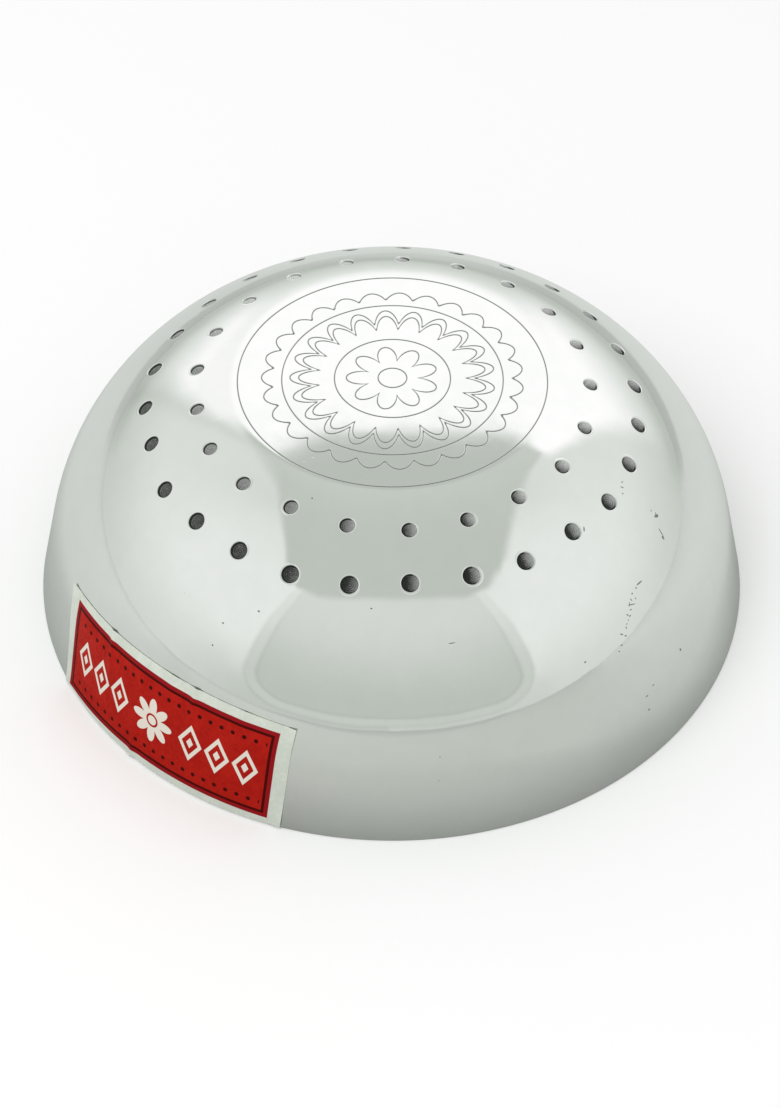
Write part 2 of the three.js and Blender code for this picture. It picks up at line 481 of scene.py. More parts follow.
def add_dents(shell, ring, top_row, bottom_row):
    """Fills the band between two rows with one round patch of mesh for each dent.

    Each cell's outline is its stretch of both rows and the two posts beside it.  From there the loops turn
    step by step from the outline's rectangle into circles round the dent and shrink to its middle.
    """
    count = ring["count"]
    wide = COLUMNS // count
    left = (ring["middle_column"] - wide // 2 + wide * np.arange(count))[:, None]
    spread = np.arange(wide)
    drop = shell.distance[bottom_row[0]] - shell.distance[top_row[0]]
    heights = shell.distance[top_row[0]] + drop * np.arange(1, CELL_ROWS) / CELL_ROWS
    posts = shell.add(heights[None, :], ring["start"] + COLUMN_TURN * left)
    next_posts = np.roll(posts, -1, axis=0)
    outline = np.concatenate(
        [
            top_row[(left + spread) % COLUMNS],
            top_row[(left + wide) % COLUMNS],
            next_posts,
            bottom_row[(left + wide - spread) % COLUMNS],
            bottom_row[left % COLUMNS],
            posts[:, ::-1],
        ],
        axis=1,
    )
    middles = ring["middles"][:, None]
    aside = (shell.turn[outline] - middles + math.pi) % (2 * math.pi) - math.pi
    across = aside * ring["radius"]
    down = shell.distance[outline] - ring["distance"]
    bearing = np.arctan2(down, across)
    mouth = ring["mouth"] / 2
    circles = np.array(CELL_RINGS)[None, :, None] * mouth * np.ones_like(bearing)[:, None, :]
    circle_across = ring["aside"][:, None, None] + circles * np.cos(bearing)[:, None, :]
    circle_down = ring["down"][:, None, None] + circles * np.sin(bearing)[:, None, :]
    fade = np.array(CELL_FADES)[None, :, None]
    fade_across = across[:, None, :] * (1 - fade) + circle_across[:, :1] * fade
    fade_down = down[:, None, :] * (1 - fade) + circle_down[:, :1] * fade
    all_across = np.concatenate([fade_across, circle_across], axis=1)
    all_down = np.concatenate([fade_down, circle_down], axis=1)
    loops = shell.add(ring["distance"] + all_down, middles[:, None, :] + all_across / ring["radius"])
    shell.join(np.concatenate([outline[:, None, :], loops], axis=1))
    bottoms = shell.add(ring["distance"] + ring["down"], ring["middles"] + ring["aside"] / ring["radius"])
    shell.close(loops[:, -1], bottoms)


def rosette_rows():
    """Radii of the rows of mesh on the base: each groove's rows, and rows spaced evenly between grooves."""
    turn = column_turns(UPPER["start"])
    rows = []
    inner = np.full_like(turn, ROSETTE_HEART)
    rows.append(inner)
    for line in ENGRAVED_LINES:
        middle = engraved_radius(line, turn)
        half = groove_width(line, turn)
        shares = np.arange(1, GAP_ROWS + 1)[:, None] / (GAP_ROWS + 1)
        rows.extend(inner + (middle - half - inner) * shares)
        rows.extend(middle + half * np.array(GROOVE_ROWS)[:, None])
        inner = middle + half
    return np.array(rows)


def build_bowl():
    """The whole shell: base with its rosette, two bands of dents, wall, rim and inside."""
    shell = Shell()
    upper_turn = column_turns(UPPER["start"])
    lower_turn = column_turns(LOWER["start"])
    base = shell.add(rosette_rows() - BASE_RADIUS, upper_turn)
    shoulder_distances = np.linspace(0, UPPER["distance"] - CELL_HALF, SHOULDER_ROWS)[:, None]
    shoulder = shell.add(shoulder_distances, upper_turn)
    shell.close(np.flip(base[0]), shell.add(np.array(-BASE_RADIUS), np.array(0.0)))
    shell.join(np.concatenate([base, shoulder]))
    between_ends = (UPPER["distance"] + CELL_HALF, LOWER["distance"] - CELL_HALF)
    shares = np.linspace(0, 1, BETWEEN_ROWS)[:, None]
    between_turn = upper_turn + (LOWER["start"] - UPPER["start"]) * shares
    between = shell.add(between_ends[0] + (between_ends[1] - between_ends[0]) * shares, between_turn)
    shell.join(between)
    wall_top = LOWER["distance"] + CELL_HALF
    wall_distances = np.linspace(wall_top, SECTION.outer_end, WALL_ROWS)[:, None]
    rim_distances = np.linspace(SECTION.outer_end, SECTION.rim_end, RIM_ROWS)[1:, None]
    inner_distances = np.linspace(SECTION.rim_end, SECTION.inner_base, INNER_ROWS)[1:, None]
    floor_distances = np.linspace(SECTION.inner_base, SECTION.length, INNER_BASE_ROWS)[1:-1, None]
    distances = np.concatenate([wall_distances, rim_distances, inner_distances, floor_distances])
    wall = shell.add(distances, lower_turn)
    shell.join(wall)
    shell.close(wall[-1], shell.add(np.array(SECTION.length), np.array(0.0)))
    add_dents(shell, UPPER, shoulder[-1], between[0])
    add_dents(shell, LOWER, between[-1], wall[0])
    return shell


def make_object(name, points, faces):
    """A mesh object at the origin, smooth shaded, from points in millimetres."""
    mesh = bpy.data.meshes.new(name)
    mesh.from_pydata((points * MM).tolist(), [], faces)
    mesh.polygons.foreach_set("use_smooth", np.ones(len(mesh.polygons), dtype=bool))
    mesh.update()
    made = bpy.data.objects.new(name, mesh)
    bpy.context.scene.collection.objects.link(made)
    return made


def add_mask(mesh, name, values):
    """Stores one number for each vertex, for the materials."""
    mesh.attributes.new(name, "FLOAT", "POINT").data.foreach_set("value", values.astype(np.float32))


def make_bowl():
    """The bowl as an object, with exact normals so that its reflections run smoothly."""
    shell = build_bowl()
    points = shell_surface(shell.distance, shell.turn)
    normals = shell_normals(shell.distance, shell.turn)
    on_axis = np.hypot(points[:, 0], points[:, 1]) < 1e-6
    normals[on_axis] = np.sign(points[on_axis, 2:] - HEIGHT + SHEET / 2) * np.array([[0.0, 0.0, 1.0]])
    faces = np.concatenate(shell.quads).tolist() + np.concatenate(shell.triangles).tolist()
    bowl = make_object("kadai_bowl", points, faces)
    masks = shell_masks(shell.distance, shell.turn)[0]
    for name, values in masks.items():
        add_mask(bowl.data, name, values)
    bowl.data.normals_split_custom_set_from_vertices(normals.tolist())
    return bowl


def label_lift(x, up):
    """How far the paper stands off the wall: pleats along its edges and corners that have come loose.

    Each pleat is a ridge across the paper, a rounded tent in x, that grows towards one long edge.  The
    corners and the short right edge lift by smooth steps towards them.
    """
    left = (x + LABEL_WIDTH / 2) / LABEL_WIDTH
    lift = np.zeros_like(x)
    for middle, width, height, slant, towards in LABEL_PLEATS:
        place = x - middle - slant * (up - 0.5)
        ridge = np.exp(-np.abs(place / width) ** 1.6)
        lift = lift + height * ridge * smooth_step(0.35, 1.0, up if towards > 0 else 1 - up)
    lift = lift + 0.4 * smooth_step(0.1, 0.0, left) * smooth_step(0.16, 0.0, up)
    lift = lift + 0.35 * smooth_step(0.05, 0.0, left) * smooth_step(0.75, 1.0, up)
    lift = lift + 0.55 * smooth_step(0.965, 1.0, left) * (0.5 + 0.5 * np.cos(2 * math.pi * up)) ** 3
    return lift


def label_height(x, up):
    """Height of a point of the label up the wall: from a level foot to a tilted and crowned upper edge."""
    middle = 1 - (2 * x / LABEL_WIDTH) ** 2
    top = LABEL_TOP + LABEL_CROWN * middle + LABEL_TILT * x
    return LABEL_FOOT + up * (top - LABEL_FOOT)


def label_print(x, up):
    """Height of a point in the print, whose straight lines rise towards the middle of the bent label."""
    rise = PRINT_RISES[0] + (PRINT_RISES[1] - PRINT_RISES[0]) * up
    return label_height(x, up) - rise * (1 - (2 * x / LABEL_WIDTH) ** 2) - PRINT_TILT * x


def label_surface(x, up, off):
    """The label laid on the wall.

    x runs along the label and becomes a turn of x over the wall's radius, leaning a little with height; up
    runs from 0 on its lower edge to 1 on its upper one; off is the distance from the wall along its normal.
    """
    rise = label_height(x, up)
    radius, height, lean, _ = SECTION.at(np.minimum(SECTION.wall_length - rise, SECTION.outer_end))
    turn = LABEL_TURN + (x - LABEL_TILT * (rise - LABEL_TOP / 2)) / radius
    across = radius + off * np.cos(lean)
    return np.stack([across * np.cos(turn), across * np.sin(turn), height + off * np.sin(lean)], axis=-1)


def make_label():
    """The label as a thin closed sheet: a front and a back grid, joined round their edges."""
    along = np.linspace(0, 1, LABEL_COLUMNS + 1)[None, :]
    up = np.linspace(0, 1, LABEL_ROWS + 1)[:, None]
    trim = LABEL_TRIMS[0] + (LABEL_TRIMS[1] - LABEL_TRIMS[0]) * up
    x, up = np.broadcast_arrays((along - 0.5) * LABEL_WIDTH + (1 - along) * trim, up)
    lift = LABEL_GAP + label_lift(x, up)
    front = label_surface(x, up, lift + LABEL_SHEET).reshape(-1, 3)
    back = label_surface(x, up, lift).reshape(-1, 3)
    number = np.arange(x.size).reshape(x.shape)
    corners = (number[:-1, :-1], number[:-1, 1:], number[1:, 1:], number[1:, :-1])
    front_faces = np.stack(corners, axis=-1).reshape(-1, 4)
    back_faces = front_faces[:, ::-1] + x.size
    edge = np.concatenate([number[0, :-1], number[:-1, -1], number[-1, :0:-1], number[:0:-1, 0]])
    after = np.roll(edge, -1)
    edge_faces = np.stack([after, edge, edge + x.size, after + x.size], axis=-1)
    faces = np.concatenate([front_faces, back_faces, edge_faces])
    label = make_object("paper_label", np.concatenate([front, back]), faces.tolist())
    label.data.set_sharp_from_angle(angle=math.radians(50))
    is_front = np.concatenate([np.ones(x.size), np.zeros(x.size)])
    add_mask(label.data, "front", is_front)
    flat = np.stack([x / LABEL_WIDTH + 0.5, label_print(x, up) / PRINT_HEIGHT], axis=-1).reshape(-1, 2)
    flat = np.concatenate([flat, flat])
    layer = label.data.uv_layers.new(name="label_flat")
    layer.data.foreach_set("uv", flat[faces.ravel()].astype(np.float32).ravel())
    return label


class Nodes:
    """Short hand for building one node tree; values may be numbers, colours or sockets."""

    def __init__(self, tree):
        self.tree = tree
        tree.nodes.clear()

    def feed(self, socket, value):
        """Links a socket to a socket, or sets its value."""
        if isinstance(value, bpy.types.NodeSocket):
            self.tree.links.new(value, socket)
        else:
            socket.default_value = value

    def add(self, kind, settings=None, **values):
        """A node with its settings, and its inputs set by name with spaces written as underscores."""
        node = self.tree.nodes.new(kind)
        for name, value in (settings or {}).items():
            setattr(node, name, value)
        for name, value in values.items():
            self.feed(node.inputs[name.replace("_", " ")], value)
        return node

    def math(self, operation, *values):
        """Output of a Math node."""
        node = self.tree.nodes.new("ShaderNodeMath")
        node.operation = operation
        for socket, value in zip(node.inputs, values):
            self.feed(socket, value)
        return node.outputs[0]

    def times(self, first, second):
        """Product of two values."""
        return self.math("MULTIPLY", first, second)

    def less(self, first, second):
        """Difference of two values."""
        return self.math("SUBTRACT", first, second)

    def fused(self, value, factor, rest):
        """A value times a factor, plus the rest."""
        return self.math("MULTIPLY_ADD", value, factor, rest)

    def off(self, value, middle):
        """Distance of a value from a middle."""
        return self.math("ABSOLUTE", self.less(value, middle))

    def hypot(self, first, second):
        """Length of a vector in a plane."""
        return self.math("SQRT", self.math("ADD", self.times(first, first), self.times(second, second)))

    def vector(self, operation, *values):
        """Output of a Vector Math node: a number for a length or a dot product, and else a vector."""
        node = self.tree.nodes.new("ShaderNodeVectorMath")
        node.operation = operation
        for socket, value in zip(node.inputs, values):
            self.feed(socket, value)
        return node.outputs["Value" if operation in ("LENGTH", "DOT_PRODUCT") else "Vector"]

    def step(self, value, low, high, start=0.0, end=1.0):
        """Smooth step of a value from start to end."""
        node = self.add("ShaderNodeMapRange", {"interpolation_type": "SMOOTHSTEP"}, Value=value)
        for name, number in (("From Min", low), ("From Max", high), ("To Min", start), ("To Max", end)):
            self.feed(node.inputs[name], number)
        return node.outputs[0]

    def blend(self, factor, first, second):
        """Mix of two colours."""
        node = self.tree.nodes.new("ShaderNodeMix")
        node.data_type = "RGBA"
        self.feed(node.inputs[0], factor)
        self.feed(node.inputs[6], first)
        self.feed(node.inputs[7], second)
        return node.outputs[2]

    def noise(self, vector, scale, detail=3.0, rough=0.5):
        """Noise between about 0.2 and 0.8."""
        node = self.add("ShaderNodeTexNoise", Vector=vector, Scale=scale, Detail=detail, Roughness=rough)
        return node.outputs["Fac"]

    def mask(self, name):
        """A mask that is stored with the mesh."""
        return self.add("ShaderNodeAttribute", {"attribute_name": name}).outputs["Fac"]

    def surface(self, **values):
        """Principled shader joined to the material's output."""
        shader = self.add("ShaderNodeBsdfPrincipled", **values)
        output = self.tree.nodes.new("ShaderNodeOutputMaterial")
        self.tree.links.new(shader.outputs[0], output.inputs["Surface"])
        return shader


def srgb(red, green, blue):
    """A colour written in screen values from 0 to 255, as linear light."""
    screen = np.array([red, green, blue]) / 255
    linear = np.where(screen <= 0.04045, screen / 12.92, ((screen + 0.055) / 1.055) ** 2.4)
    return (*linear.tolist(), 1.0)


# Print of the label, in millimetres along it and up it.
PANEL_ACROSS = (6.0, 95.9)
PANEL_UP = (1.6, 35.4)
PANEL_EDGE = 0.14
PRINT_MIDDLE = (50.95, 18.45)
PRINT_EDGE = 0.1
KEYLINE_INSET = 2.0
KEYLINE_HALVES = (0.52, 0.4)
FLOWER_WAVES = 4.0
FLOWER_CORE = 3.9
PETAL_LENGTH = 4.4
HEART_RADIUS = 2.1
HEART_HALVES = (0.3, 0.45)
LOZENGE_ROW = (10.5, 40.5)
LOZENGE_PITCH = 10.0
LOZENGE_STRETCH = 1.55
LOZENGE_LINE = 5.9
LOZENGE_HALVES = (1.25, 1.05)
SEED_SIZE = 2.0
DOT_SHIFT = 1.2
DOT_PITCH = 4.0
DOT_ROW = 11.4
DOT_RADII = (0.8, 0.65)
DOT_INSETS = (3.2, 3.4)
PAPER_WEAR_SCALE = 160.0
FIBRE_SCALE = 2600.0
PAPER_TONES = (srgb(221, 226, 215), srgb(209, 215, 204))
RED_TONES = (srgb(183, 30, 20), srgb(168, 24, 16))
STRIP_TONE = srgb(150, 20, 26)
KEYLINE_TONE = srgb(72, 6, 4)
DOT_TONE = srgb(66, 6, 4)
WHITE_TONE = srgb(236, 228, 216)

# Tones of the metal: clear and smudged polish, flaws, painted shade in the engraving, and the dark and pale
# ends of a dent's painted light and shade.
POLISH_TONES = ((0.915, 0.92, 0.912, 1.0), (0.885, 0.895, 0.885, 1.0))
FLAW_TONE = (0.16, 0.165, 0.15, 1.0)
ENGRAVED_SHADE_TONE = (0.06, 0.063, 0.06, 1.0)
DENT_TONES = ((0.028, 0.032, 0.028, 1.0), (0.93, 0.94, 0.92, 1.0))
SMUDGE_SCALE = 30.0
GRIME_SCALE = 900.0
LATHE_SCALE = 900.0
DENT_GLOSS = 0.36
INSIDE_GLOSS = 0.24

# Tones of the floor as the metal sees it, painted light and shade with a painted contact shadow, and its
# plain tone.
FLOOR_FRONT = (0.49, 0.52, 0.476, 1.0)
FLOOR_FAR = (0.65, 0.682, 0.65, 1.0)
FLOOR_LEFT = (0.55, 0.578, 0.55, 1.0)
FLOOR_BEHIND = (0.43, 0.455, 0.425, 1.0)
FLOOR_BEFORE = (0.42, 0.445, 0.415, 1.0)
FLOOR_FOOT_SHADOW = (0.2, 0.21, 0.2, 1.0)
FLOOR_SHADE = (0.02, 0.021, 0.02, 1.0)
FLOOR_PLAIN = (0.975, 0.98, 0.975, 1.0)


def new_material(name):
    """An empty node material."""
    material = bpy.data.materials.new(name)
    material.use_nodes = True
    return material, Nodes(material.node_tree)


def new_group(name, vectors, numbers):
    """A node group from named vectors and numbers to one share: the group, its nodes, inputs and exit."""
    group = bpy.data.node_groups.new(name, "ShaderNodeTree")
    for socket in vectors:
        group.interface.new_socket(socket, in_out="INPUT", socket_type="NodeSocketVector")
    for socket in numbers:
        group.interface.new_socket(socket, in_out="INPUT", socket_type="NodeSocketFloat")
    group.interface.new_socket("Share", in_out="OUTPUT", socket_type="NodeSocketFloat")
    nodes = Nodes(group)
    return group, nodes, nodes.add("NodeGroupInput").outputs, nodes.add("NodeGroupOutput").inputs["Share"]


def mottle_group():
    """Shared effect: soft patches of two sizes, as wear on metal and unevenness in print."""
    group, nodes, entry, share = new_group("soft_mottle", ("Vector",), ("Scale",))
    coarse = nodes.noise(entry["Vector"], entry["Scale"], 4.0, 0.6)
    fine = nodes.noise(entry["Vector"], nodes.times(entry["Scale"], 5.3), 3.0, 0.6)
    both = nodes.fused(fine, 0.45, nodes.times(coarse, 0.55))
    nodes.feed(share, nodes.step(both, 0.36, 0.64))
    return group


MOTTLE = mottle_group()


def mottle(nodes, vector, scale):
    """Output of the shared mottle group at a scale in patches for each metre."""
    node = nodes.add("ShaderNodeGroup", {"node_tree": MOTTLE}, Vector=vector, Scale=scale)
    return node.outputs["Share"]


def specks(nodes, place, scale, size, clusters):
    """Small dark pits: points of a cell pattern, kept only where a coarse noise is high."""
    cells = nodes.add("ShaderNodeTexVoronoi", {"feature": "F1"}, Vector=place, Scale=scale)
    chance = nodes.add("ShaderNodeSeparateColor", Color=cells.outputs["Color"]).outputs[0]
    spread = nodes.step(chance, 0.75, 1.0, 0.0, size)
    dot = nodes.step(cells.outputs["Distance"], spread, nodes.times(spread, 0.5))
    where = nodes.step(nodes.noise(place, clusters, 2.0), 0.6, 0.66)
    return nodes.times(dot, where)


def nick_group():
    """Shared effect: one long spot, from the distance to its middle with its length squeezed to its width."""
    group, nodes, entry, share = new_group("nick", ("Place", "Middle", "Line"), ("Length", "Width"))
    offset = nodes.vector("SUBTRACT", entry["Place"], entry["Middle"])
    squeeze = nodes.less(nodes.math("DIVIDE", entry["Width"], entry["Length"]), 1.0)
    along = nodes.times(nodes.vector("DOT_PRODUCT", offset, entry["Line"]), squeeze)
    spread = nodes.add("ShaderNodeCombineXYZ", X=along, Y=along, Z=along).outputs[0]
    pulled = nodes.vector("MULTIPLY_ADD", entry["Line"], spread, offset)
    ragged = nodes.math("ADD", nodes.noise(entry["Place"], 2200.0), 0.5)
    away = nodes.times(nodes.vector("LENGTH", pulled), ragged)
    half = nodes.times(entry["Width"], 0.5)
    nodes.feed(share, nodes.step(away, half, nodes.times(half, 0.7)))
    return group


NICK = nick_group()


def nicks(nodes, place):
    """All nicks of the list, each laid on the wall at its turn and distance with its slant."""
    marks = 0.0
    for turn, distance, slant, length, width in NICKS:
        radius, height, lean, _ = SECTION.at(distance)
        turn = math.radians(turn)
        slant = math.radians(slant)
        out = Vector((math.cos(turn), math.sin(turn), 0.0))
        level = Vector((-math.sin(turn), math.cos(turn), 0.0))
        down = out * math.sin(lean) + Vector((0.0, 0.0, -math.cos(lean)))
        middle = (out * radius + Vector((0.0, 0.0, height))) * MM
        line = level * math.cos(slant) + down * math.sin(slant)
        node = nodes.add(
            "ShaderNodeGroup",
            {"node_tree": NICK},
            Place=place,
            Middle=middle,
            Line=line,
            Length=length * MM,
            Width=width * MM,
        )
        marks = nodes.math("MAXIMUM", node.outputs["Share"], marks)
    return marks


def aluminium():
    """Mirror polished aluminium with lathe marks, faint smudges, pits, rough dark dents in painted light and
    shade, and a satin inside.
    """
    material, nodes = new_material("polished_aluminium")
    place = nodes.add("ShaderNodeTexCoord").outputs["Object"]
    axes = nodes.add("ShaderNodeSeparateXYZ", Vector=place)
    x, y, z = axes.outputs
    radius = nodes.hypot(x, y)
    reach = nodes.math("MAXIMUM", radius, MM)
    lathe = nodes.add(
        "ShaderNodeCombineXYZ",
        X=nodes.times(nodes.math("DIVIDE", x, reach), 1.6),
        Y=nodes.times(nodes.math("DIVIDE", y, reach), 1.6),
        Z=nodes.times(nodes.less(radius, z), LATHE_SCALE),
    ).outputs[0]
    share = nodes.mask("pit_share")
    side = nodes.mask("pit_side")
    pit = nodes.step(share, 1.0, 0.95)
    groove = nodes.mask("groove")
    inside = nodes.mask("inside")
    on_wall = nodes.step(radius, 0.05, 0.062)
    streak = nodes.noise(lathe, 1.0, 4.0, 0.65)
    smudge = mottle(nodes, place, SMUDGE_SCALE)
    grime = mottle(nodes, place, GRIME_SCALE)
    flaws = nodes.math("MAXIMUM", specks(nodes, place, 330.0, 0.17, 22.0), nicks(nodes, place))
    polish = nodes.blend(smudge, POLISH_TONES[0], POLISH_TONES[1])
    # Painted light: dents at the back, and more so at the far left, are paler, a painted reflection of the
    # white back.
    back = nodes.step(y, 0.0, 0.07)
    far_left = nodes.times(back, nodes.step(x, 0.02, -0.04))
    # Painted light and shade: how much lighter one side of each dent is than the other, more on the right.
    lean = nodes.step(x, -0.07, 0.04, -0.05, 0.5)
    lean = nodes.times(lean, nodes.step(back, 0.0, 1.0, 1.0, 0.35))
    # Painted light: the upper ring is lighter, more at the left, and dents grow lighter towards the right.
    upper = nodes.step(z, 0.078, 0.083, 0.0, nodes.step(x, -0.05, 0.02, 0.36, 0.18))
    shade = nodes.math("ADD", upper, nodes.step(x, -0.02, 0.09, 0.02, 0.1))
    shade = nodes.math("ADD", shade, nodes.step(x, -0.04, -0.08, 0.0, 0.06))
    rings = nodes.math("SINE", nodes.times(share, 28.0))
    # Painted shade: a dark crescent inside the edge of each dent on its darker side.
    outline = nodes.step(nodes.off(share, 0.88), 0.13, 0.0)
    outline = nodes.times(outline, nodes.step(side, 0.5, -0.1))
    # These add the painted light and shade above to real grime and concentric rings, over the dents' dark
    # oxide.
    effects = ((back, 0.3), (far_left, 0.3), (side, lean), (grime, 0.1), (rings, 0.06), (outline, -0.5))
    for effect, weight in effects:
        shade = nodes.fused(effect, weight, shade)
    dent_oxide_and_painted_light = nodes.blend(shade, DENT_TONES[0], DENT_TONES[1])
    colour = nodes.blend(nodes.times(flaws, 0.85), polish, FLAW_TONE)
    # Painted shade: the engraved grooves are darkened in colour.
    colour = nodes.blend(nodes.times(groove, 0.95), colour, ENGRAVED_SHADE_TONE)
    colour = nodes.blend(pit, colour, dent_oxide_and_painted_light)
    gloss = nodes.fused(smudge, 0.02, 0.022)
    gloss = nodes.fused(streak, 0.02, gloss)
    gloss = nodes.math("MAXIMUM", gloss, nodes.times(pit, DENT_GLOSS))
    metal = nodes.fused(pit, -0.45, 1.0)
    gloss = nodes.math("MAXIMUM", gloss, nodes.times(inside, INSIDE_GLOSS))
    swell = nodes.fused(on_wall, 9e-5, 5e-6)
    wave = nodes.times(nodes.noise(place, 38.0, 2.0), swell)
    lines = nodes.fused(on_wall, 2.4e-6, 4e-8)
    relief = nodes.fused(streak, lines, wave)
    relief = nodes.fused(nodes.times(grime, pit), 1.2e-4, relief)
    relief = nodes.fused(flaws, -4e-5, relief)
    bump = nodes.add("ShaderNodeBump", Height=relief, Strength=1.0, Distance=1.0)
    nodes.surface(Base_Color=colour, Metallic=metal, Roughness=gloss, Normal=bump.outputs[0])
    return material


def label_paper():
    """Printed paper: a pale border, a red panel with a dark keyline, and a plain flower and lozenge print."""
    material, nodes = new_material("label_paper")
    flat = nodes.add("ShaderNodeUVMap", {"uv_map": "label_flat"}).outputs[0]
    axes = nodes.add("ShaderNodeSeparateXYZ", Vector=flat)
    place = nodes.add("ShaderNodeTexCoord").outputs["Object"]
    across = nodes.times(axes.outputs[0], LABEL_WIDTH)
    up = nodes.times(axes.outputs[1], PRINT_HEIGHT)
    sides = nodes.math("MINIMUM", nodes.less(across, PANEL_ACROSS[0]), nodes.less(PANEL_ACROSS[1], across))
    ends = nodes.math("MINIMUM", nodes.less(up, PANEL_UP[0]), nodes.less(PANEL_UP[1], up))
    depth = nodes.math("MINIMUM", sides, ends)
    panel = nodes.step(depth, 0.0, PANEL_EDGE)
    keyline = nodes.step(nodes.off(depth, KEYLINE_INSET), *KEYLINE_HALVES)
    strip = nodes.step(depth, KEYLINE_INSET, KEYLINE_INSET - 2 * PRINT_EDGE)
    aside = nodes.off(across, PRINT_MIDDLE[0])
    middle = nodes.less(up, PRINT_MIDDLE[1])
    away = nodes.hypot(aside, middle)
    bearing = nodes.math("ARCTAN2", middle, aside)
    petals = nodes.math("ABSOLUTE", nodes.math("COSINE", nodes.times(bearing, FLOWER_WAVES)))
    reach = nodes.fused(petals, PETAL_LENGTH, FLOWER_CORE)
    flower = nodes.step(nodes.less(reach, away), 0.0, 2 * PRINT_EDGE)
    heart = nodes.step(nodes.off(away, HEART_RADIUS), *HEART_HALVES)
    flower = nodes.times(flower, heart)
    along = nodes.less(aside, LOZENGE_ROW[0])
    shifted = nodes.math("ADD", along, 10 * LOZENGE_PITCH)
    cell = nodes.off(nodes.math("MODULO", shifted, LOZENGE_PITCH), LOZENGE_PITCH / 2)
    lozenge = nodes.math("ADD", nodes.times(cell, LOZENGE_STRETCH), nodes.math("ABSOLUTE", middle))
    frame_line = nodes.step(nodes.off(lozenge, LOZENGE_LINE), *LOZENGE_HALVES)
    seed = nodes.step(lozenge, SEED_SIZE + PRINT_EDGE, SEED_SIZE - PRINT_EDGE)
    row_start = nodes.step(aside, LOZENGE_ROW[0] - PRINT_EDGE, LOZENGE_ROW[0] + PRINT_EDGE)
    row_end = nodes.step(aside, LOZENGE_ROW[1] + PRINT_EDGE, LOZENGE_ROW[1] - PRINT_EDGE)
    chain = nodes.times(nodes.math("MAXIMUM", frame_line, seed), nodes.times(row_start, row_end))
    white = nodes.math("MAXIMUM", flower, chain)
    dot_shifted = nodes.math("ADD", across, DOT_SHIFT)
    dot_across = nodes.less(nodes.math("MODULO", dot_shifted, DOT_PITCH), DOT_PITCH / 2)
    dot_up = nodes.less(nodes.math("ABSOLUTE", middle), DOT_ROW)
    dot = nodes.step(nodes.hypot(dot_across, dot_up), *DOT_RADII)
    dots = nodes.times(dot, nodes.step(depth, *DOT_INSETS))
    worn = mottle(nodes, place, PAPER_WEAR_SCALE)
    fibre = nodes.noise(place, FIBRE_SCALE, 4.0, 0.7)
    paper = nodes.blend(worn, PAPER_TONES[0], PAPER_TONES[1])
    red = nodes.blend(worn, RED_TONES[0], RED_TONES[1])
    for shape, tone in ((strip, STRIP_TONE), (keyline, KEYLINE_TONE), (dots, DOT_TONE), (white, WHITE_TONE)):
        red = nodes.blend(shape, red, tone)
    printed = nodes.times(panel, nodes.step(nodes.mask("front"), 0.4, 0.6))
    colour = nodes.blend(printed, paper, red)
    relief = nodes.fused(fibre, 9e-6, nodes.times(worn, 4e-5))
    bump = nodes.add("ShaderNodeBump", Height=relief, Strength=1.0, Distance=1.0)
    gloss = nodes.step(worn, 0.0, 1.0, 0.45, 0.58)
    shader = nodes.surface(Base_Color=colour, Roughness=gloss, Normal=bump.outputs[0])
    shader.inputs["Specular IOR Level"].default_value = 0.06
    return material


def toward(level, target, share):
    """A level moved by a share of its way to a target."""
    return level + (target - level) * share


def back_edge(roof_x):
    """Lower edge of the white back in the plane overhead: a hanging lobe on each side of a level stretch.

    Each lobe is made of two hyperbolas that meet at its lowest point.
    """
    outer_left = 1.5 * (np.hypot(0.5, roof_x + 0.4) - 0.5)
    inner_left = 0.95 * (np.hypot(0.3, roof_x + 0.4) - 0.3)
    inner_right = 0.632 + 1.6 * (np.hypot(0.3, roof_x - 0.55) - 0.3)
    outer_right = 0.628 + 0.77 * (np.hypot(0.1, roof_x - 0.5) - 0.1)
    left = 0.895 + np.where(roof_x < -0.4, outer_left, inner_left)
    right = np.where(roof_x < 0.53, inner_right, outer_right)
    lobes = np.where(roof_x < 0, left, right)
    return np.where(np.abs(roof_x) < 0.15, np.minimum(lobes, 1.055), lobes)


def back_softness(roof_x):
    """Half width of the white back's edge: sharp in the middle and softer outwards."""
    left = 0.08 * smooth_step(-0.1, -0.35, roof_x) + 0.25 * np.maximum(-roof_x - 0.6, 0)
    right = 0.02 * smooth_step(0.1, 0.3, roof_x) + 0.07 * smooth_step(0.4, 0.6, roof_x)
    return 0.003 + left + right + 0.12 * np.maximum(roof_x - 0.6, 0)


def side_walls(azimuth, elevation, front):
    """Pale cloth all round: it dims towards the floor, behind the bowl and beside the opening in front."""
    level = 0.735 + 0.135 * smooth_step(0, 30, elevation) - 0.05 * smooth_step(44, 66, elevation)
    level = level - 0.09 * smooth_step(100, 55, np.abs(azimuth))
    beside = smooth_step(75, 50, front) * smooth_step(28, 4, elevation)
    return level - np.where(azimuth < 0, 0.085, 0.015) * beside


